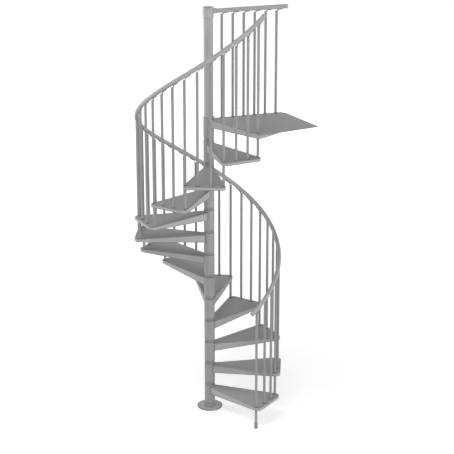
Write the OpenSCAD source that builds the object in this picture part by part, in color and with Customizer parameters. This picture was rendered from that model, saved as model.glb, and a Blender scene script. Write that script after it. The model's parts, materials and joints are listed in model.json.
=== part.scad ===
// Spiral staircase: sheet-steel treads threaded on a centre pole, a kite-shaped
// landing that fills one corner of a square stairwell, a helical handrail on round balusters.
// Millimetres. The origin is on the pole's axis at floor level, +Z is up. The stair climbs
// anticlockwise seen from above, and the landing's slab edges face +X and -Y.

/* [Stair] */
// Height from one tread top to the next
rise = 225; // [215:1:235]
// Number of treads below the landing
tread_count = 12; // [11:1:13]
// Turn from one tread to the next, degrees
step_turn = 30; // [29:0.5:31]
// Distance from the pole's axis to a tread's straight outer edge
tread_reach = 694; // [640:1:750]

/* [Treads] */
// Thickness of the folded tread sheet
tread_sheet = 3; // [2:0.5:4]
// Width of a tread where its sides meet the pole's axis
tread_root_w = 64; // [56:1:72]
// Radius of a tread's outer corners
tread_corner_r = 42; // [30:1:50]
// Depth of a tread's folded sides at the hub, from the tread's top
tread_root_depth = 76; // [60:1:90]
// Depth of a tread's folded sides and lip at the outer edge
tread_tip_depth = 29; // [24:1:40]
// Distance from a corner baluster's axis to the tread's side edge
corner_margin = 18; // [16:0.5:22]

/* [Pole] */
// Outside diameter of the centre pole
pole_d = 87; // [76:0.5:90]
// Wall of the centre pole
pole_wall = 4; // [3:0.5:6]
// Outside diameter of the hubs welded to the treads
hub_d = 101; // [96:0.5:110]
// Length of a hub
hub_h = 200; // [185:1:205]
// Height of a hub's top above its tread's top
hub_above = 20; // [10:1:25]
// Outside diameter of the rings that space the hubs
spacer_d = 92; // [91.5:0.5:95]
// Height of the cap on the pole's top
cap_h = 100; // [80:1:120]
// Outside diameter of the cap
cap_d = 98; // [95:0.5:106]
// Thickness of the cap's top
cap_top = 8; // [4:0.5:12]
// Height of the cap's top above the landing handrail's centre
cap_over_rail = 38; // [30:1:50]
// Radius on the cap's upper edge
cap_edge_r = 5; // [2:0.5:7]

/* [Base] */
// Diameter of the base plate
base_d = 240; // [220:1:260]
// Thickness of the base plate
base_t = 8; // [6:0.5:12]
// Sheet thickness of the pressed cover over the base plate
cover_t = 2; // [1.5:0.5:3]
// Diameter of the circle of anchor holes
anchor_pcd = 180; // [165:1:200]
// Diameter of an anchor hole
anchor_d = 14; // [12:0.5:16]
// Number of anchor holes
anchor_count = 4; // [3:1:6]

/* [Balusters] */
// Diameter of a baluster
baluster_d = 24; // [20:0.5:26]
// Distance from a tread's outer edge to the balusters' circle
baluster_inset = 29; // [26:0.5:34]
// Balusters for each tread
balusters_per_tread = 3; // [2:1:3]
// Length of a baluster below the top of the sheet it passes through
baluster_tail = 15; // [10:0.5:20]
// Wall of a baluster, seen at its open top
baluster_wall = 1.5; // [1:0.1:2.5]
// Depth of the open mouth at a baluster's top
mouth_depth = 30; // [20:1:50]
// Gap between the handrail's underside and a baluster's round top
rail_gap = 16; // [14:1:26]
// Thickness of the flat tongue that a baluster's top carries
tongue_t = 5; // [4:0.5:7]
// Width of the tongue
tongue_w = 16; // [12:0.5:18]
// Distance from a baluster's axis to the tongue's near face
tongue_offset = 3; // [1:0.5:4]
// Distance from a baluster's axis to the bend that lays the tongue along the handrail
tongue_bend = 20; // [16:0.5:26]
// Reach of the tongue along the handrail
tongue_reach = 55; // [45:1:70]
// Diameter of the first baluster's foot
foot_d = 34; // [30:0.5:40]
// Height of the first baluster's foot
foot_h = 58; // [45:1:70]
// Depth of the socket in the foot
foot_socket = 42; // [30:1:43]

/* [Handrail] */
// Diameter of the handrail
rail_d = 40; // [34:0.5:44]
// Height of the handrail's centre above the line of the treads' front edges
rail_h = 1000; // [900:1:1050]
// Turn of the handrail below the first baluster, degrees
rail_start_turn = 5.5; // [4:0.5:8]
// Turn of the handrail past the last baluster, degrees
rail_end_turn = 6; // [5.5:0.5:8]

/* [Landing] */
// Bearing of the landing's outer corner, degrees from +X
landing_bearing = -45; // [-60:1:-30]
// Turn from the last baluster of the flight to the landing's outer corner, degrees
landing_lead = 32.5; // [31:0.5:34]
// Half of the angle between the landing's folded edges, degrees
landing_half_angle = 34.5; // [33:0.5:37]
// Distance from the pole's axis to the line of each folded edge
landing_side = 17; // [17:0.5:22]
// Gap between the treads' outer edge and the sides of the stairwell
well_gap = 41; // [30:1:60]
// Thickness of the landing plate
landing_sheet = 4; // [3:0.5:6]
// Radius of the landing's two side corners
landing_corner_r = 80; // [50:1:100]
// Depth of the landing's folded edges at the side corners
landing_tip_depth = 40; // [30:1:50]
// Distance from the pole's axis to the landing railing's first baluster
landing_first = 128; // [124:1:140]
// Distance from the landing railing's last baluster to the slab's edge, along the railing
landing_last = 87.5; // [85:0.5:110]
// Number of balusters on the landing railing
landing_baluster_count = 6; // [4:1:6]
// Height of the landing handrail's centre above the landing
landing_rail_h = 1000; // [960:1:1010]
// Length of the landing handrail past the slab's edge
landing_rail_past = 17.5; // [5:0.5:40]
// Diameter of the collar where the landing handrail meets the cap
collar_d = 47; // [46:0.5:50]
// Length of that collar beyond the cap
collar_l = 24; // [15:1:28]

/* [Hidden] */
$fn = 64;
// Clearance round a part that slides into a hole
slip = 0.3;
// Clearance between the pole and the hubs on it
hub_slip = 0.5;
// Clearance between a tongue and the handrail on it
rail_slip = 0.4;
// Extra length that carries a cut past a face
past = 1;

baluster_circle = tread_reach - baluster_inset;
landing_top = rise * (tread_count + 1);
last_baluster = balusters_per_tread * tread_count;
baluster_turn = step_turn / balusters_per_tread;
first_bearing = landing_bearing - landing_lead - tread_count * step_turn;
hub_bore_d = pole_d + 2 * hub_slip;
well_side = tread_reach + well_gap;
cover_d = base_d + 2 * (cover_t + slip);
cover_top = base_t + cover_t;
socket_top = rise + hub_above - hub_h;
cap_above = landing_rail_h + cap_over_rail;
pole_top = landing_top + cap_above - cap_top;

// Slope of the handrail along the balusters' circle, degrees
rail_slope = atan(rise / (baluster_circle * step_turn * PI / 180));
rail_ring_turn = 5;
rail_sides = 16;
rail_sweep = last_baluster * baluster_turn + rail_start_turn + rail_end_turn;
rail_rings = ceil(rail_sweep / rail_ring_turn);

// Angle of a tread's side edges to its centreline, so that its corner balusters keep their margin
corner_x = baluster_circle * cos(step_turn / 2);
corner_y = baluster_circle * sin(step_turn / 2) - tread_root_w / 2;
tread_side_angle = asin(corner_margin / norm([corner_x, corner_y])) + atan2(corner_y, corner_x);
tread_corner_x = tread_reach - tread_corner_r;
tread_corner_y = tread_root_w / 2 + tread_corner_x * tan(tread_side_angle)
    - tread_corner_r / cos(tread_side_angle);

// Landing plan, with its outer corner on the local X axis
landing_tip = well_side * sqrt(2);
landing_corner_sum = landing_tip - landing_corner_r * sqrt(2);
landing_corner_x = (landing_corner_r - landing_side + landing_corner_sum * cos(landing_half_angle))
    / (sin(landing_half_angle) + cos(landing_half_angle));
landing_corner_y = landing_corner_sum - landing_corner_x;
// Length over which the folded edge runs out past the side corner, along the local X axis
landing_runout = 150;
// Distance from the pole's axis to the slab's edge, along the landing railing
landing_edge = well_side / cos(45 - landing_half_angle);
landing_pitch = (landing_edge - landing_last - landing_first) / (landing_baluster_count - 1);
landing_rail_reach = landing_edge + landing_rail_past;

steel = [0.60, 0.60, 0.60];
light_steel = [0.68, 0.68, 0.68];
dark_steel = [0.50, 0.50, 0.50];

function two_digits(n) = str(n < 10 ? "0" : "", n);
function tread_node(n) = str("tread_", two_digits(n));
function baluster_node(n) = str("balusters_", two_digits(n));
function tread_bearing(n) = first_bearing + step_turn * (n - 0.5);
function baluster_bearing(k) = first_bearing + baluster_turn * k;
// Height of the line of the treads' front edges at a baluster
function line_z(k) = rise * (1 + k / balusters_per_tread);

// Base

module base_plate() {
    color(dark_steel) difference() {
        union() {
            cylinder(d = base_d, h = base_t);
            cylinder(d = hub_d, h = socket_top);
        }
        translate([0, 0, base_t]) cylinder(d = hub_bore_d, h = socket_top);
        for (i = [0:anchor_count - 1])
            rotate(360 / anchor_count * (i + 0.5)) translate([anchor_pcd / 2, 0, -past])
                cylinder(d = anchor_d, h = base_t + 2 * past);
    }
}

module base_cover() {
    color(steel) difference() {
        translate([0, 0, slip]) cylinder(d = cover_d, h = cover_top - slip);
        translate([0, 0, -past]) cylinder(d = base_d + 2 * slip, h = base_t + past);
        cylinder(d = hub_d + 2 * slip, h = cover_top + past);
    }
}

// Pole

module centre_pole() {
    color(steel) translate([0, 0, base_t]) difference() {
        cylinder(d = pole_d, h = pole_top - base_t);
        translate([0, 0, -past]) cylinder(d = pole_d - 2 * pole_wall, h = pole_top - base_t + 2 * past);
    }
}

module rise_spacers() {
    for (n = [1:tread_count]) color(dark_steel) translate([0, 0, rise * n + hub_above]) difference() {
        cylinder(d = spacer_d, h = rise - hub_h);
        translate([0, 0, -past]) cylinder(d = hub_bore_d, h = rise - hub_h + 2 * past);
    }
}

module pole_cap() {
    color(steel) translate([0, 0, landing_top + cap_above]) rotate_extrude() difference() {
        union() {
            translate([0, -cap_h]) square([cap_d / 2, cap_h - cap_edge_r]);
            translate([0, -cap_edge_r]) square([cap_d / 2 - cap_edge_r, cap_edge_r]);
            translate([cap_d / 2 - cap_edge_r, -cap_edge_r]) intersection() {
                circle(r = cap_edge_r);
                square(cap_edge_r);
            }
        }
        translate([0, -cap_h - past]) square([pole_d / 2 + slip, cap_h - cap_top + past]);
    }
}

// A welded hub, with its top above a sheet's top at height zero
module hub() {
    translate([0, 0, hub_above - hub_h]) cylinder(d = hub_d, h = hub_h);
}

module hub_bore() {
    translate([0, 0, hub_above - hub_h - past]) cylinder(d = hub_bore_d, h = hub_h + 2 * past);
}

// A hole for a baluster through a sheet whose top is at height zero
module baluster_hole(sheet) {
    translate([0, 0, -sheet - past]) cylinder(d = baluster_d + 2 * slip, h = sheet + 2 * past);
}

// Treads

// Tread outline along +X, set in from its three free edges
module tread_plan(inset) {
    round_r = tread_corner_r - inset;
    root_y = tread_root_w / 2 - inset / cos(tread_side_angle);
    side_x = tread_corner_x - round_r * sin(tread_side_angle);
    side_y = tread_corner_y + round_r * cos(tread_side_angle);
    polygon([
        [0, -root_y],
        [side_x, -side_y],
        [tread_corner_x + round_r, -tread_corner_y],
        [tread_corner_x + round_r, tread_corner_y],
        [side_x, side_y],
        [0, root_y]
    ]);
    for (side = [-1, 1]) translate([tread_corner_x, side * tread_corner_y]) circle(r = round_r);
}

// Side view of a folded sheet: shallow at the tip, deep at the hub
module fold_profile(points, width) {
    rotate([90, 0, 0]) linear_extrude(height = width, center = true) polygon(points);
}

module folded_tread() {
    difference() {
        intersection() {
            translate([0, 0, -tread_root_depth]) linear_extrude(height = tread_root_depth) tread_plan(0);
            fold_profile([
                [0, 0],
                [0, -tread_root_depth],
                [hub_d / 2, -tread_root_depth],
                [tread_reach, -tread_tip_depth],
                [tread_reach + past, -tread_tip_depth],
                [tread_reach + past, 0]
            ], 2 * tread_reach);
        }
        translate([0, 0, -tread_root_depth - past])
            linear_extrude(height = tread_root_depth + past - tread_sheet) tread_plan(tread_sheet);
    }
}

module tread(n) {
    color(steel) translate([0, 0, rise * n]) rotate(tread_bearing(n)) difference() {
        union() {
            folded_tread();
            hub();
        }
        hub_bore();
        for (i = [0:balusters_per_tread])
            rotate(baluster_turn * i - step_turn / 2) translate([baluster_circle, 0, 0])
                baluster_hole(tread_sheet);
    }
}

// Landing

// Landing outline with its outer corner on +X, set in from its folded edges
module landing_plan(inset) {
    round_r = landing_corner_r - inset;
    root_x = -(landing_side - inset) / sin(landing_half_angle);
    side_x = landing_corner_x - round_r * sin(landing_half_angle);
    side_y = landing_corner_y + round_r * cos(landing_half_angle);
    edge_x = landing_corner_x + round_r * sqrt(0.5);
    edge_y = landing_corner_y + round_r * sqrt(0.5);
    polygon([
        [root_x, 0],
        [side_x, -side_y],
        [edge_x, -edge_y],
        [edge_x + edge_y, 0],
        [edge_x, edge_y],
        [side_x, side_y]
    ]);
    for (side = [-1, 1]) translate([landing_corner_x, side * landing_corner_y]) circle(r = round_r);
}

module folded_landing() {
    difference() {
        intersection() {
            translate([0, 0, -tread_root_depth]) linear_extrude(height = tread_root_depth) landing_plan(0);
            fold_profile([
                [-tread_reach, 0],
                [-tread_reach, -tread_root_depth],
                [hub_d / 2, -tread_root_depth],
                [landing_corner_x, -landing_tip_depth],
                [landing_corner_x + landing_runout, -landing_sheet],
                [landing_tip + past, -landing_sheet],
                [landing_tip + past, 0]
            ], 2 * landing_tip);
        }
        translate([0, 0, -tread_root_depth - past])
            linear_extrude(height = tread_root_depth + past - landing_sheet) landing_plan(tread_sheet);
    }
}

module landing() {
    color(steel) translate([0, 0, landing_top]) difference() {
        union() {
            rotate(landing_bearing) folded_landing();
            hub();
        }
        hub_bore();
        rotate(baluster_bearing(last_baluster)) translate([baluster_circle, 0, 0])
            baluster_hole(landing_sheet);
        rotate(landing_bearing + landing_half_angle) for (i = [0:landing_baluster_count - 1])
            translate([landing_first + landing_pitch * i, 0, 0]) baluster_hole(landing_sheet);
    }
}

// Balusters

// Flat tongue at a baluster's open top: it stands in the mouth, bends towards the rising handrail,
// along +X, and lies under it. Height zero is the handrail's underside over the baluster.
module tongue(slope) {
    drop = rail_slip / cos(slope);
    thick = tongue_t / cos(slope);
    root_z = -rail_gap - mouth_depth - past;
    upper_bend = tongue_bend - tongue_t / 2;
    rotate([90, 0, 0]) linear_extrude(height = tongue_w, center = true) polygon([
        [tongue_offset, root_z],
        [tongue_offset + tongue_t, root_z],
        [tongue_offset + tongue_t, -rail_gap],
        [tongue_bend, tongue_bend * tan(slope) - drop - thick],
        [tongue_reach, tongue_reach * tan(slope) - drop - thick],
        [tongue_reach, tongue_reach * tan(slope) - drop],
        [upper_bend, upper_bend * tan(slope) - drop],
        [tongue_offset, tongue_t / 2 - rail_gap]
    ]);
}

// A baluster on the local Z axis under a handrail with its centre at rail_z
module baluster(foot_z, rail_z, slope) {
    underside = rail_z - rail_d / 2 / cos(slope);
    mouth_z = underside - rail_gap;
    color(light_steel) union() {
        difference() {
            translate([0, 0, foot_z]) cylinder(d = baluster_d, h = mouth_z - foot_z);
            translate([0, 0, mouth_z - mouth_depth])
                cylinder(d = baluster_d - 2 * baluster_wall, h = mouth_depth + past);
        }
        translate([0, 0, underside]) tongue(slope);
    }
}

module flight_baluster(k, foot_z) {
    rotate(baluster_bearing(k)) translate([baluster_circle, 0, 0]) rotate(90)
        baluster(foot_z, line_z(k) + rail_h, rail_slope);
}

module balusters(n) {
    for (i = [1:balusters_per_tread])
        flight_baluster(balusters_per_tread * (n - 1) + i, rise * n - baluster_tail);
}

module start_baluster() {
    flight_baluster(0, foot_h - foot_socket);
}

module start_foot() {
    color(dark_steel) rotate(baluster_bearing(0)) translate([baluster_circle, 0, 0]) difference() {
        cylinder(d = foot_d, h = foot_h);
        translate([0, 0, foot_h - foot_socket]) cylinder(d = baluster_d + 2 * slip, h = foot_socket + past);
    }
}

module landing_balusters() {
    rotate(landing_bearing + landing_half_angle) for (i = [0:landing_baluster_count - 1])
        translate([landing_first + landing_pitch * i, 0, 0])
            baluster(landing_top - baluster_tail, landing_top + landing_rail_h, 0);
}

// Handrails

module landing_handrail() {
    color(light_steel) difference() {
        translate([0, 0, landing_top + landing_rail_h]) rotate(landing_bearing + landing_half_angle)
            rotate([0, 90, 0]) union() {
                cylinder(d = rail_d, h = landing_rail_reach);
                cylinder(d = collar_d, h = cap_d / 2 + collar_l);
            }
        translate([0, 0, landing_top]) cylinder(d = cap_d + 2 * slip, h = cap_above + past);
    }
}

// Point on the handrail's skin: turn along the helix, angle round the section
function rail_point(turn, angle) =
    let (
        bearing = first_bearing + turn,
        out = baluster_circle + rail_d / 2 * cos(angle),
        lean = rail_d / 2 * sin(angle) * sin(rail_slope)
    ) [
        out * cos(bearing) + lean * sin(bearing),
        out * sin(bearing) - lean * cos(bearing),
        line_z(turn / baluster_turn) + rail_h + rail_d / 2 * sin(angle) * cos(rail_slope)
    ];

module handrail() {
    points = [
        for (i = [0:rail_rings], j = [0:rail_sides - 1])
            rail_point(rail_sweep * i / rail_rings - rail_start_turn, 360 * j / rail_sides)
    ];
    sides = [
        for (i = [0:rail_rings - 1], j = [0:rail_sides - 1])
            let (k = (j + 1) % rail_sides, low = i * rail_sides, high = low + rail_sides)
                [low + j, high + j, high + k, low + k]
    ];
    start = [for (j = [0:rail_sides - 1]) j];
    end = [for (j = [0:rail_sides - 1]) rail_rings * rail_sides + rail_sides - 1 - j];
    color(light_steel) polyhedron(points = points, faces = concat(sides, [start, end]), convexity = 10);
}

base_plate();
base_cover();
centre_pole();
rise_spacers();
pole_cap();
for (n = [1:tread_count]) tread(n);
landing();
start_baluster();
start_foot();
for (n = [1:tread_count]) balusters(n);
landing_balusters();
landing_handrail();
handrail();
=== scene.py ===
"""Spiral staircase in grey powder-coated steel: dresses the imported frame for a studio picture."""
import json
import math

import bmesh
import bpy
from mathutils import Matrix, Vector


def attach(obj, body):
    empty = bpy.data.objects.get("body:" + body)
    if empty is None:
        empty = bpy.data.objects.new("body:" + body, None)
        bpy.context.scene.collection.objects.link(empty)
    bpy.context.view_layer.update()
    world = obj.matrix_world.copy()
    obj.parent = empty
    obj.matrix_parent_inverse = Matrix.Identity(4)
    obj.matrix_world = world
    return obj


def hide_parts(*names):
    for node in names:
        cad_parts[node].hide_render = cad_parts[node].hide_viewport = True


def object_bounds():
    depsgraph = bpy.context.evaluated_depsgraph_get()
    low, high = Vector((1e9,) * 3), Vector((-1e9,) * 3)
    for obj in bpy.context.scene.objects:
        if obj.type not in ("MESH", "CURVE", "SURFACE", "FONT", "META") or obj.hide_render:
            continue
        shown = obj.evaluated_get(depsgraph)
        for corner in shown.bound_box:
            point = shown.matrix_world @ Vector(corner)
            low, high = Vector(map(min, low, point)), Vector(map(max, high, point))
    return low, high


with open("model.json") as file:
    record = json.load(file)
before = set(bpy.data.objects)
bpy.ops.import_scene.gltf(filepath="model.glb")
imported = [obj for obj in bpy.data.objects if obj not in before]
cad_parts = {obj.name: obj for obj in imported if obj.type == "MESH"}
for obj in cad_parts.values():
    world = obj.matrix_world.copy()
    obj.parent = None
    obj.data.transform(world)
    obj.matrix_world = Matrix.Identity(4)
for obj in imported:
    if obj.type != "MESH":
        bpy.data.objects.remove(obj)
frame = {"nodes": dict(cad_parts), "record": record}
cad_low, cad_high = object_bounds()
nodes = frame["nodes"]
slot_of = {part["node"]: part["material_slot"] for part in frame["record"]["subparts"]}
colour_of = {made["slot"]: made["base_color"] for made in frame["record"]["materials"]}

# Camera, in degrees, metres and pixels of the picture
PICTURE_PX = 454
CAMERA_AZIMUTH = -29.57
CAMERA_ELEVATION = 18.95
CAMERA_DISTANCE = 14.0
CAMERA_FOCAL_PX = 1477.4
CAMERA_SIGHT = 500.0
AIM_HEIGHT = 1.866
AIM_RIGHT = 0.169
SENSOR_MM = 36.0

# Studio floor, in metres: its lift to white is weaker near the stair, where the shadow lies
FLOOR_SIZE = 160.0
FLOOR_COLOUR = 0.86
FLOOR_GRAIN = {"Scale": 9.0, "Detail": 3.0}
FLOOR_TONES = [(0.3, FLOOR_COLOUR - 0.005), (0.7, FLOOR_COLOUR + 0.005)]
FLOOR_NEAR = 2.0
FLOOR_FAR = 12.0
NEAR_LIFT = 0.47
FAR_LIFT = 0.90

# Studio light, in metres; each lamp has its azimuth from the camera's, its elevation and its watts
WHITE = (1.0, 1.0, 1.0, 1.0)
SKY_STRENGTH = 0.10
LAMP_DISTANCE = 12.0
LAMP_SIZE = 7.0
LAMPS = {
    "left_lamp": (-110.0, 8.0, 820.0),
    "front_lamp": (0.0, 8.0, 700.0),
    "right_lamp": (75.0, 8.0, 610.0),
    "back_lamp": (150.0, 1.0, 440.0),
    "high_lamp": (-40.0, 65.0, 525.0),
}

# Stair, in metres and degrees
RISE = 0.225
TREADS = 12
STEP_TURN = 30.0
QUARTER_TURN = 90.0
FIRST_BEARING = -77.5
BALUSTERS_PER_TREAD = 3
BALUSTER_CIRCLE = 0.665

# Handrail, in metres and degrees; a face along a rail has no more corners than the last value
RAIL_D = 0.040
RAIL_HEIGHT = 1.0
RAIL_START_TURN = 5.5
RAIL_END_TURN = 6.0
RAIL_SIDES = 40
RAIL_STEPS = 240
RAIL_WALL = 0.0025
RAIL_PLUG = 0.0015
RAIL_FACE_CORNERS = 8

# Landing railing, in metres and degrees
LANDING_BEARING = -45.0
LANDING_RAIL_BEARING = -10.5
LANDING_RAIL_HEIGHT = 1.0
LANDING_FIRST = 0.128
LANDING_PITCH = 0.1064
LANDING_BALUSTERS = 6

# Edges and folds of the painted pieces, in metres, radians and parts of a unit normal
MERGE_GAP = 0.00001
SLIVER_GAP = 0.000001
FLAT_ANGLE = math.radians(0.5)
SHARP_ANGLE = math.radians(35)
FACING = 0.99
LEVEL_FACING = 0.9
UPRIGHT_FACING = 0.1
FOLD_RADIUS = 0.004
FOLD_SEGMENTS = 3
FOLD_DEPTH = 0.012
EDGE_SEGMENTS = 2
EDGE_RADIUS = {
    "tread_paint": 0.0010,
    "pole_paint": 0.0012,
    "spacer_paint": 0.0010,
    "baluster_paint": 0.0005,
    "rail_paint": 0.0010,
    "base_paint": 0.0008,
}

# Grommets round the balusters, in metres
GROMMET_CIRCLE = 0.0140
GROMMET_RADIUS = 0.0026
GROMMET_SIDES = 24
GROMMET_SECTION_SIDES = 12

# Weld beads between the sheets and their hubs, in metres and degrees
BEAD_RADIUS = 0.0026
BEAD_CIRCLE = 0.0512
BEAD_HALF_TURN = 53.0
BEAD_DROP = 0.072
BEAD_SIDES = 8
BEAD_STEPS = 40
BEAD_RIPPLE = 0.0012
BEAD_RIPPLE_SIZE = 2 * BEAD_RADIUS

# Screws through the tongues, in metres
TONGUE_THICK = 0.0054
SCREW_REACH = 0.040
SCREW_HEAD_D = 0.010
SCREW_HEAD_H = 0.0032
SCREW_SIDES = 18
SCREW_ROUND = SCREW_HEAD_H / 2
SCREW_ROUND_SEGMENTS = 3
SCREW_RIM = SCREW_HEAD_D / 10
SCREW_SOCKET_TAPER = SCREW_HEAD_D / 40
SCREW_SOCKET_DEPTH = SCREW_HEAD_H / 2

# Powder coat, in metres where it has a size; tones stand against the record's colours
COAT_ROUGHNESS = 0.52
COAT_GLOSS = 0.25
# The spacers' colour is darker than the pole's: painted shade in the notches between the hubs, which this
# tone lightens part of the way
COAT_TONE = {"spacer_paint": 1.5, "base_paint": 0.86}
CLOUDS = {"Scale": 3.1, "Detail": 4.0}
CLOUD_TONES = [(0.30, 0.95), (0.70, 1.05)]
CLOUD_ROUGHNESS = 0.10
PEEL = {"Scale": 420.0, "Detail": 2.0}
PEEL_TONES = [(0.35, 0.95), (0.65, 1.05)]
PEEL_ROUGHNESS = 0.06
PEEL_BUMP = {"Strength": 0.3, "Distance": 0.0006}
NOISE_MIDDLE = 0.5

# The coat's painted shade along its edges and in its creases, and its darker hubs, in metres where they
# have a size
EDGE_SHADE = 0.8
EDGE_SAMPLES = 6
EDGE_SHADE_STOPS = [(0.01, 0.0), (0.12, 1.0)]
EDGE_SHADE_BAND = {
    "tread_paint": 0.010,
    "pole_paint": 0.008,
    "spacer_paint": 0.003,
    "baluster_paint": 0.0012,
    "rail_paint": 0.004,
    "base_paint": 0.012,
}
HUB_RADIUS = 0.0506
HUB_FADE = 0.002
HUB_TONE = {"tread_paint": 0.85}

# Rubber of the grommets
RUBBER_ROUGHNESS = 0.6
RUBBER_GLOSS = 0.15
RUBBER_GRAIN = {"Scale": 900.0, "Detail": 3.0}
RUBBER_BUMP = {"Strength": 0.2, "Distance": 0.0003}
DUST = {"Scale": 60.0, "Detail": 2.0}
DUST_TONE = 1.6
DUST_ROUGHNESS = 0.2

# Zinc plate of the screws
ZINC_ROUGHNESS = 0.28
ZINC_CLOUDS = {"Scale": 240.0, "Detail": 3.0}
ZINC_CLOUD_TONE = 0.75
ZINC_CLOUD_ROUGHNESS = 0.2
TURNING_MARKS = {"Scale": 2600.0, "Detail": 2.0}
TURNING_BUMP = {"Strength": 0.1, "Distance": 0.0001}

# Sockets of a Mix node for colours, by number
MIX_FACTOR = 0
MIX_FIRST = 6
MIX_SECOND = 7
MIX_RESULT = 2

turn_per_baluster = STEP_TURN / BALUSTERS_PER_TREAD
last_baluster = BALUSTERS_PER_TREAD * TREADS
landing_top = RISE * (TREADS + 1)
rail_slope = math.atan2(RISE, BALUSTER_CIRCLE * math.radians(STEP_TURN))


class Socket:
    """A shader output that takes part in Python sums: each operator adds one Math node."""

    def __init__(self, paint, link):
        self.paint = paint
        self.link = link

    def maths(self, operation, *terms):
        return self.paint.node("Math", {"operation": operation}, dict(enumerate(terms)))

    def __add__(self, other):
        return self.maths("ADD", self, other)

    def __radd__(self, other):
        return self.maths("ADD", other, self)

    def __sub__(self, other):
        return self.maths("SUBTRACT", self, other)

    def __rsub__(self, other):
        return self.maths("SUBTRACT", other, self)

    def __mul__(self, other):
        return self.maths("MULTIPLY", self, other)

    def __rmul__(self, other):
        return self.maths("MULTIPLY", other, self)


class Shading:
    """The node tree of a material or of the world."""

    def __init__(self, owner):
        owner.use_nodes = True
        self.tree = owner.node_tree
        self.tree.nodes.clear()

    def node(self, kind, settings=None, inputs=None, output=0):
        """Adds a node: its settings first, then its inputs' values or links."""
        made = self.tree.nodes.new("ShaderNode" + kind)
        for name, value in (settings or {}).items():
            if name == "stops":
                for stop, (place, grey) in zip(made.color_ramp.elements, value):
                    stop.position = place
                    stop.color = (grey, grey, grey, 1.0)
            else:
                setattr(made, name, value)
        for name, value in (inputs or {}).items():
            if isinstance(value, Socket):
                self.tree.links.new(value.link, made.inputs[name])
            else:
                made.inputs[name].default_value = value
        return Socket(self, made.outputs[output])

    def seen_directly(self):
        """One for rays from the camera, reflections and clear materials, and zero for soft light."""
        rays = [
            self.node("LightPath", output=kind)
            for kind in ("Is Camera Ray", "Is Glossy Ray", "Is Transmission Ray")
        ]
        return rays[0] + rays[1] + rays[2]

    def finish(self, surface, kind="OutputMaterial"):
        """Links a surface to the tree's output."""
        out = self.tree.nodes.new("ShaderNode" + kind)
        self.tree.links.new(surface.link, out.inputs["Surface"])


def powder_coat(slot):
    """Satin powder coat: orange peel, faint clouding, and painted shade: a darker band along every edge
    and in every crease.
    """
    material = bpy.data.materials.new(slot)
    coat = Shading(material)
    base = [COAT_TONE.get(slot, 1.0) * value for value in colour_of[slot][:3]]
    # Painted shade: the darker colour of the band along edges and in creases
    edge_shade_colour = [value * (1 - EDGE_SHADE) for value in base]
    place = coat.node("TexCoord", output="Object")
    clouds = coat.node("TexNoise", inputs={"Vector": place, **CLOUDS})
    peel = coat.node("TexNoise", inputs={"Vector": place, **PEEL})
    # Painted shade: near edges and creases the Bevel normal leaves the true normal, and there the colour
    # is darkened
    smooth = coat.node("Bevel", {"samples": EDGE_SAMPLES}, {"Radius": EDGE_SHADE_BAND[slot]})
    true = coat.node("NewGeometry", output="Normal")
    along = coat.node("VectorMath", {"operation": "DOT_PRODUCT"}, {0: smooth, 1: true}, "Value")
    painted_edge_shade = coat.node("ValToRGB", {"stops": EDGE_SHADE_STOPS}, {"Fac": 1 - along})
    cloud_tone = coat.node("ValToRGB", {"stops": CLOUD_TONES}, {"Fac": clouds})
    peel_tone = coat.node("ValToRGB", {"stops": PEEL_TONES}, {"Fac": peel})
    level = coat.node("VectorMath", {"operation": "MULTIPLY"}, {0: place, 1: (1, 1, 0)})
    radius = coat.node("VectorMath", {"operation": "LENGTH"}, {0: level}, "Value")
    hub_stops = [(HUB_RADIUS, HUB_TONE.get(slot, 1.0)), (HUB_RADIUS + HUB_FADE, 1.0)]
    hub_tone = coat.node("ValToRGB", {"stops": hub_stops}, {"Fac": radius})
    edge_shaded = coat.node(
        "Mix",
        {"data_type": "RGBA"},
        {MIX_FACTOR: painted_edge_shade, MIX_FIRST: (*base, 1), MIX_SECOND: (*edge_shade_colour, 1)},
        MIX_RESULT,
    )
    shade = coat.node(
        "Mix",
        {"data_type": "RGBA", "blend_type": "MULTIPLY"},
        {MIX_FACTOR: 1.0, MIX_FIRST: edge_shaded, MIX_SECOND: cloud_tone * peel_tone * hub_tone},
        MIX_RESULT,
    )
    uneven = CLOUD_ROUGHNESS * (clouds - NOISE_MIDDLE) + PEEL_ROUGHNESS * (peel - NOISE_MIDDLE)
    surface = coat.node(
        "BsdfPrincipled",
        inputs={
            "Base Color": shade,
            "Roughness": COAT_ROUGHNESS + uneven,
            "Specular IOR Level": COAT_GLOSS,
            "Normal": coat.node("Bump", inputs={"Height": peel, **PEEL_BUMP}),
        },
    )
    coat.finish(surface)
    return material


def moulded_rubber(slot):
    """Dull dark rubber with a fine grain and a little dust."""
    material = bpy.data.materials.new(slot)
    rubber = Shading(material)
    base = colour_of[slot][:3]
    dusty = [DUST_TONE * value for value in base]
    place = rubber.node("TexCoord", output="Object")
    grain = rubber.node("TexNoise", inputs={"Vector": place, **RUBBER_GRAIN})
    dust = rubber.node("TexNoise", inputs={"Vector": place, **DUST})
    shade = rubber.node(
        "Mix",
        {"data_type": "RGBA"},
        {MIX_FACTOR: dust, MIX_FIRST: (*base, 1), MIX_SECOND: (*dusty, 1)},
        MIX_RESULT,
    )
    surface = rubber.node(
        "BsdfPrincipled",
        inputs={
            "Base Color": shade,
            "Roughness": RUBBER_ROUGHNESS + DUST_ROUGHNESS * dust,
            "Specular IOR Level": RUBBER_GLOSS,
            "Normal": rubber.node("Bump", inputs={"Height": grain, **RUBBER_BUMP}),
        },
    )
    rubber.finish(surface)
    return material


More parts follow.
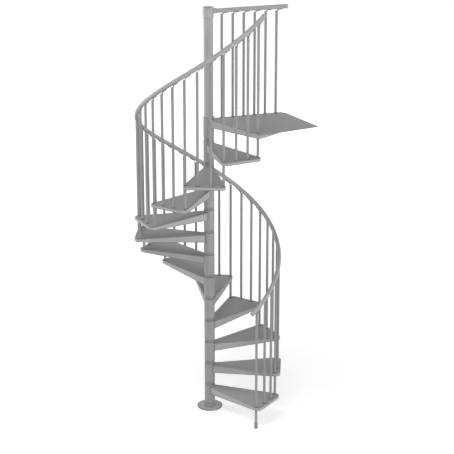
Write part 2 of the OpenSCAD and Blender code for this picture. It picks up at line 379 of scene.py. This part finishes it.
def zinc_plate(slot):
    """Bright zinc-plated steel, a little cloudy and with fine turning marks."""
    material = bpy.data.materials.new(slot)
    zinc = Shading(material)
    base = colour_of[slot][:3]
    cloudy = [ZINC_CLOUD_TONE * value for value in base]
    place = zinc.node("TexCoord", output="Object")
    clouds = zinc.node("TexNoise", inputs={"Vector": place, **ZINC_CLOUDS})
    marks = zinc.node("TexNoise", inputs={"Vector": place, **TURNING_MARKS})
    shade = zinc.node(
        "Mix",
        {"data_type": "RGBA"},
        {MIX_FACTOR: clouds, MIX_FIRST: (*base, 1), MIX_SECOND: (*cloudy, 1)},
        MIX_RESULT,
    )
    surface = zinc.node(
        "BsdfPrincipled",
        inputs={
            "Base Color": shade,
            "Metallic": 1.0,
            "Roughness": ZINC_ROUGHNESS + ZINC_CLOUD_ROUGHNESS * clouds,
            "Normal": zinc.node("Bump", inputs={"Height": marks, **TURNING_BUMP}),
        },
    )
    zinc.finish(surface)
    return material


def pale_floor():
    """Pale studio floor that reaches white in the picture, and keeps the stair's shadow near it."""
    material = bpy.data.materials.new("pale_floor")
    paint = Shading(material)
    place = paint.node("TexCoord", output="Object")
    grain = paint.node("TexNoise", inputs={"Vector": place, **FLOOR_GRAIN})
    tone = paint.node("ValToRGB", {"stops": FLOOR_TONES}, {"Fac": grain})
    matt = paint.node("BsdfDiffuse", inputs={"Color": tone})
    radius = paint.node("VectorMath", {"operation": "LENGTH"}, {0: place}, "Value")
    lifts = [(FLOOR_NEAR / FLOOR_FAR, NEAR_LIFT), (1.0, FAR_LIFT)]
    level = paint.node("ValToRGB", {"stops": lifts}, {"Fac": radius * (1 / FLOOR_FAR)})
    lift = paint.node("Emission", inputs={"Color": level, "Strength": paint.seen_directly()})
    paint.finish(paint.node("AddShader", inputs={0: matt, 1: lift}))
    return material


def pick_up(made):
    """Selects one object alone and makes it the active one."""
    bpy.ops.object.select_all(action="DESELECT")
    made.select_set(True)
    bpy.context.view_layer.objects.active = made


def new_object(name):
    """Names the primitive just added and puts its place into its mesh."""
    made = bpy.context.active_object
    made.name = name
    made.data.name = name
    bpy.ops.object.transform_apply(location=True, rotation=True, scale=True)
    return made


def modify(made, kind, **settings):
    """Adds a modifier, sets it and applies it."""
    pick_up(made)
    modifier = made.modifiers.new(kind.lower(), kind)
    for name, value in settings.items():
        setattr(modifier, name, value)
    bpy.ops.object.modifier_apply(modifier=modifier.name)


def join(pieces):
    """Joins the pieces into the first of them."""
    bpy.ops.object.select_all(action="DESELECT")
    for piece in pieces:
        piece.select_set(True)
    bpy.context.view_layer.objects.active = pieces[0]
    bpy.ops.object.join()
    return pieces[0]


def fit(piece, slot):
    """Gives a finished piece its slot's finish and fixes it to the stair."""
    piece.data.materials.clear()
    piece.data.materials.append(finishes[slot])
    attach(piece, "root")


def select_faces(made, wanted):
    """In edit mode, selects the faces that pass a test, and no others."""
    bpy.ops.mesh.select_mode(type="FACE")
    bpy.ops.mesh.select_all(action="DESELECT")
    skin = bmesh.from_edit_mesh(made.data)
    for face in skin.faces:
        face.select_set(wanted(face))
    bmesh.update_edit_mesh(made.data)


def set_out(master, places, name):
    """Copies a modelled piece to every place, each copy with its own mesh, and joins the copies."""
    copies = []
    for place in places:
        copy = bpy.data.objects.new(name, master.data.copy())
        copy.data.transform(place)
        bpy.context.collection.objects.link(copy)
        copies.append(copy)
    bpy.data.objects.remove(master)
    return join(copies)


def turned(bearing):
    """Turn about the pole's axis, in degrees."""
    return Matrix.Rotation(math.radians(bearing), 4, "Z")


def on_flight(k, height):
    """Place on flight baluster k's axis, with local X along the climb."""
    bearing = FIRST_BEARING + k * turn_per_baluster
    return turned(bearing) @ Matrix.Translation((BALUSTER_CIRCLE, 0, height)) @ turned(QUARTER_TURN)


def on_landing(i, height):
    """Place on landing baluster i's axis, with local X along the railing."""
    reach = LANDING_FIRST + i * LANDING_PITCH
    return turned(LANDING_RAIL_BEARING) @ Matrix.Translation((reach, 0, height))


def ease_edges(piece, radius, clamp=True):
    """Rounds a piece's sharp edges a little and keeps its flat faces flat to the light.

    With the clamp, no edge is rounded by more than the piece's narrowest step has room for.
    """
    pick_up(piece)
    bpy.ops.object.shade_smooth_by_angle(angle=SHARP_ANGLE)
    modify(
        piece,
        "BEVEL",
        width=radius,
        segments=EDGE_SEGMENTS,
        limit_method="ANGLE",
        angle_limit=SHARP_ANGLE,
        use_clamp_overlap=clamp,
    )
    modify(piece, "WELD", merge_threshold=SLIVER_GAP)
    modify(piece, "WEIGHTED_NORMAL", keep_sharp=True)


def skin_of(node):
    """Copy of a CAD piece as one closed skin with whole flat faces."""
    piece = bpy.data.objects.new(node + "_painted", nodes[node].data.copy())
    bpy.context.collection.objects.link(piece)
    pick_up(piece)
    bpy.ops.mesh.customdata_custom_splitnormals_clear()
    bpy.ops.object.mode_set(mode="EDIT")
    bpy.ops.mesh.select_all(action="SELECT")
    bpy.ops.mesh.remove_doubles(threshold=MERGE_GAP)
    bpy.ops.mesh.dissolve_limited(angle_limit=FLAT_ANGLE)
    bpy.ops.object.mode_set(mode="OBJECT")
    return piece


def is_fold(edge, top):
    """True for an edge where the sheet's top face turns down into a folded side."""
    if len(edge.link_faces) != 2 or any(abs(v.co.z - top) > MERGE_GAP for v in edge.verts):
        return False
    flat, side = sorted(edge.link_faces, key=lambda face: -abs(face.normal.z))
    depth = top - min(v.co.z for v in side.verts)
    return flat.normal.z > LEVEL_FACING and abs(side.normal.z) < UPRIGHT_FACING and depth > FOLD_DEPTH


def round_folds(piece, top):
    """Gives the folded sheet its bending radius along its top."""
    pick_up(piece)
    bpy.ops.object.mode_set(mode="EDIT")
    bpy.ops.mesh.select_mode(type="EDGE")
    bpy.ops.mesh.select_all(action="DESELECT")
    skin = bmesh.from_edit_mesh(piece.data)
    for edge in skin.edges:
        edge.select_set(is_fold(edge, top))
    bmesh.update_edit_mesh(piece.data)
    bpy.ops.mesh.bevel(offset=FOLD_RADIUS, segments=FOLD_SEGMENTS, affect="EDGES", clamp_overlap=True)
    bpy.ops.mesh.select_all(action="SELECT")
    bpy.ops.mesh.remove_doubles(threshold=MERGE_GAP)
    bpy.ops.object.mode_set(mode="OBJECT")


def dress_cad_pieces():
    """Every CAD piece but the handrail, with eased edges."""
    sheet_tops = {f"tread_{n:02d}": RISE * n for n in range(1, TREADS + 1)}
    sheet_tops["landing"] = landing_top
    for node in sorted(nodes):
        if node == "handrail":
            continue
        piece = skin_of(node)
        if node in sheet_tops:
            round_folds(piece, sheet_tops[node])
        if node == "landing_handrail":
            plug_ends(piece, turned(LANDING_RAIL_BEARING) @ Vector((1, 0, 0)))
        # A sheet's tiny corners at its hub would clamp all of its edges to almost nothing
        ease_edges(piece, EDGE_RADIUS[slot_of[node]], clamp=node not in sheet_tops)
        fit(piece, slot_of[node])
        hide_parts(node)


def wind(name, section, turn, climb, steps):
    """Closed bar made by winding the active circle about the pole's axis, or straight up for no turn."""
    bar = new_object(name)
    modify(
        bar,
        "SCREW",
        axis="Z",
        angle=math.radians(turn),
        screw_offset=climb,
        steps=steps,
        render_steps=steps,
    )
    bpy.ops.object.mode_set(mode="EDIT")
    bpy.ops.mesh.select_mode(type="EDGE")
    bpy.ops.mesh.select_all(action="DESELECT")
    bpy.ops.mesh.select_non_manifold()
    bpy.ops.mesh.fill_holes(sides=section)
    bpy.ops.mesh.select_all(action="SELECT")
    bpy.ops.mesh.normals_make_consistent(inside=False)
    bpy.ops.object.mode_set(mode="OBJECT")
    return bar


def plug_ends(rail, *outward):
    """Closes the rail's ends that face the given ways with plugs set in the tube's wall."""

    def is_end(face):
        faces_out = any(face.normal.dot(way) > FACING for way in outward)
        return len(face.verts) > RAIL_FACE_CORNERS and faces_out

    pick_up(rail)
    bpy.ops.object.mode_set(mode="EDIT")
    select_faces(rail, is_end)
    bpy.ops.mesh.inset(thickness=RAIL_WALL)
    bpy.ops.mesh.inset(thickness=RAIL_PLUG, depth=-RAIL_PLUG)
    bpy.ops.mesh.inset(thickness=RAIL_PLUG, depth=RAIL_PLUG)
    bpy.ops.object.mode_set(mode="OBJECT")


def sweep_handrail():
    """Handrail as one smooth tube: a tilted circle wound up the balusters' circle."""
    bearing = FIRST_BEARING - RAIL_START_TURN
    sweep = TREADS * STEP_TURN + RAIL_START_TURN + RAIL_END_TURN
    low = RISE * (1 - RAIL_START_TURN / STEP_TURN) + RAIL_HEIGHT
    bpy.ops.object.select_all(action="DESELECT")
    bpy.ops.mesh.primitive_circle_add(
        vertices=RAIL_SIDES,
        radius=RAIL_D / 2,
        location=turned(bearing) @ Vector((BALUSTER_CIRCLE, 0, low)),
        rotation=(rail_slope - math.pi / 2, 0, math.radians(bearing)),
    )
    rail = wind("handrail_tube", RAIL_SIDES, sweep, RISE * sweep / STEP_TURN, RAIL_STEPS)
    uphill = Vector((0, math.cos(rail_slope), math.sin(rail_slope)))
    plug_ends(rail, -(turned(bearing) @ uphill), turned(bearing + sweep) @ uphill)
    ease_edges(rail, EDGE_RADIUS["rail_paint"])
    fit(rail, "rail_paint")
    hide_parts("handrail")


def seat_grommets():
    """Rubber ring round every baluster where it goes through a sheet."""
    bpy.ops.object.select_all(action="DESELECT")
    bpy.ops.mesh.primitive_torus_add(
        major_radius=GROMMET_CIRCLE,
        minor_radius=GROMMET_RADIUS,
        major_segments=GROMMET_SIDES,
        minor_segments=GROMMET_SECTION_SIDES,
    )
    ring = new_object("grommet")
    bpy.ops.object.mode_set(mode="EDIT")
    bpy.ops.mesh.select_all(action="SELECT")
    bpy.ops.mesh.bisect(plane_co=(0, 0, 0), plane_no=(0, 0, 1), use_fill=True, clear_inner=True)
    bpy.ops.object.mode_set(mode="OBJECT")
    bpy.ops.object.shade_smooth_by_angle(angle=SHARP_ANGLE)
    places = [
        on_flight(BALUSTERS_PER_TREAD * (n - 1) + i, RISE * n)
        for n in range(1, TREADS + 1)
        for i in range(BALUSTERS_PER_TREAD + 1)
    ]
    places.append(on_flight(last_baluster, landing_top))
    places += [on_landing(i, landing_top) for i in range(LANDING_BALUSTERS)]
    fit(set_out(ring, places, "baluster_grommets"), "grommet_rubber")


def weld_bead(turn, climb, bearing, height, tilt):
    """Rippled weld bead on the hub, level round it or upright along it."""
    bpy.ops.object.select_all(action="DESELECT")
    bpy.ops.mesh.primitive_circle_add(
        vertices=BEAD_SIDES,
        radius=BEAD_RADIUS,
        location=turned(bearing) @ Vector((BEAD_CIRCLE, 0, height)),
        rotation=(math.radians(tilt), 0, math.radians(bearing)),
    )
    bead = wind("weld_bead", BEAD_SIDES, turn, climb, BEAD_STEPS)
    ripple = bpy.data.textures.new("weld_ripple", "CLOUDS")
    ripple.noise_scale = BEAD_RIPPLE_SIZE
    modify(bead, "DISPLACE", texture=ripple, texture_coords="LOCAL", strength=BEAD_RIPPLE)
    bpy.ops.object.shade_smooth_by_angle(angle=SHARP_ANGLE)
    return bead


def weld_hubs():
    """Beads where each tread and the landing meet their hubs: one over the sheet, two down its folds."""
    beads = [
        weld_bead(2 * BEAD_HALF_TURN, 0, -BEAD_HALF_TURN, 0, QUARTER_TURN),
        weld_bead(0, BEAD_DROP, -BEAD_HALF_TURN, -BEAD_DROP, 0),
        weld_bead(0, BEAD_DROP, BEAD_HALF_TURN, -BEAD_DROP, 0),
    ]
    places = [
        turned(FIRST_BEARING + STEP_TURN * (n - 0.5)) @ Matrix.Translation((0, 0, RISE * n))
        for n in range(1, TREADS + 1)
    ]
    places.append(turned(LANDING_BEARING) @ Matrix.Translation((0, 0, landing_top)))
    fit(set_out(join(beads), places, "hub_welds"), "tread_paint")


def faces_down(face):
    """True for a face on a piece's underside."""
    return face.normal.z < -FACING


def drive_screws():
    """Button-headed screw through every tongue into the handrail on it."""
    bpy.ops.object.select_all(action="DESELECT")
    bpy.ops.mesh.primitive_cylinder_add(
        vertices=SCREW_SIDES,
        radius=SCREW_HEAD_D / 2,
        depth=SCREW_HEAD_H,
        location=(0, 0, -SCREW_HEAD_H / 2),
    )
    screw = new_object("screw")
    bpy.ops.object.mode_set(mode="EDIT")
    select_faces(screw, faces_down)
    bpy.ops.mesh.bevel(offset=SCREW_ROUND, segments=SCREW_ROUND_SEGMENTS, affect="EDGES")
    select_faces(screw, faces_down)
    bpy.ops.mesh.inset(thickness=SCREW_RIM)
    bpy.ops.mesh.inset(thickness=SCREW_SOCKET_TAPER, depth=-SCREW_SOCKET_DEPTH)
    bpy.ops.object.mode_set(mode="OBJECT")
    bpy.ops.object.shade_smooth_by_angle(angle=SHARP_ANGLE)
    level = Matrix.Translation((SCREW_REACH, 0, -RAIL_D / 2 - TONGUE_THICK))
    on_slope = Matrix.Rotation(-rail_slope, 4, "Y") @ level
    places = [
        on_flight(k, RISE * (1 + k / BALUSTERS_PER_TREAD) + RAIL_HEIGHT) @ on_slope
        for k in range(last_baluster + 1)
    ]
    places += [on_landing(i, landing_top + LANDING_RAIL_HEIGHT) @ level for i in range(LANDING_BALUSTERS)]
    fit(set_out(screw, places, "tongue_screws"), "screw_steel")


def lay_floor():
    """Plain floor under the stair."""
    bpy.ops.object.select_all(action="DESELECT")
    bpy.ops.mesh.primitive_plane_add(size=FLOOR_SIZE, location=(0, 0, 0))
    floor = new_object("studio_floor")
    floor.data.materials.append(pale_floor())


def hang_sky():
    """Soft light from all round; the camera and reflections see it as white."""
    world = bpy.data.worlds.new("studio_sky")
    bpy.context.scene.world = world
    sky = Shading(world)
    fill = sky.node("Background", inputs={"Color": WHITE, "Strength": SKY_STRENGTH})
    white = sky.node("Background", inputs={"Color": WHITE, "Strength": 1.0})
    seen = sky.node("MixShader", inputs={0: sky.seen_directly(), 1: fill, 2: white})
    sky.finish(seen, "OutputWorld")


def bearing_vector(azimuth, elevation):
    """Unit vector from the stair towards a place at that azimuth and elevation, in degrees."""
    turn = math.radians(azimuth)
    lift = math.radians(elevation)
    return Vector((math.sin(turn) * math.cos(lift), -math.cos(turn) * math.cos(lift), math.sin(lift)))


def hang_lamp(name, azimuth, elevation, power):
    """Large round soft lamp, at an azimuth from the camera's own."""
    lamp = bpy.data.lights.new(name, "AREA")
    lamp.shape = "DISK"
    lamp.size = LAMP_SIZE
    lamp.energy = power
    hung = bpy.data.objects.new(name, lamp)
    bpy.context.collection.objects.link(hung)
    towards = bearing_vector(CAMERA_AZIMUTH + azimuth, elevation)
    middle = (cad_low + cad_high) / 2
    hung.location = middle + towards * LAMP_DISTANCE
    hung.rotation_euler = towards.to_track_quat("Z", "Y").to_euler()
    hung.visible_camera = False


def place_camera():
    """Camera at the photo's viewing angle, aimed a little to the right of the pole."""
    lens = bpy.data.cameras.new("camera")
    lens.sensor_width = SENSOR_MM
    lens.lens = CAMERA_FOCAL_PX * SENSOR_MM / PICTURE_PX
    lens.clip_end = CAMERA_SIGHT
    camera = bpy.data.objects.new("camera", lens)
    bpy.context.collection.objects.link(camera)
    towards = bearing_vector(CAMERA_AZIMUTH, CAMERA_ELEVATION)
    turn = math.radians(CAMERA_AZIMUTH)
    aim = Vector((math.cos(turn), math.sin(turn), 0)) * AIM_RIGHT + Vector((0, 0, AIM_HEIGHT))
    camera.location = aim + towards * CAMERA_DISTANCE
    camera.rotation_mode = "QUATERNION"
    camera.rotation_quaternion = towards.to_track_quat("Z", "Y")
    bpy.context.scene.camera = camera


finishes = {slot: powder_coat(slot) for slot in EDGE_SHADE_BAND}
finishes["grommet_rubber"] = moulded_rubber("grommet_rubber")
finishes["screw_steel"] = zinc_plate("screw_steel")
place_camera()
lay_floor()
hang_sky()
for lamp_name, lamp_place in LAMPS.items():
    hang_lamp(lamp_name, *lamp_place)
dress_cad_pieces()
sweep_handrail()
seat_grommets()
weld_hubs()
drive_screws()
bpy.context.scene.view_settings.view_transform = "Standard"
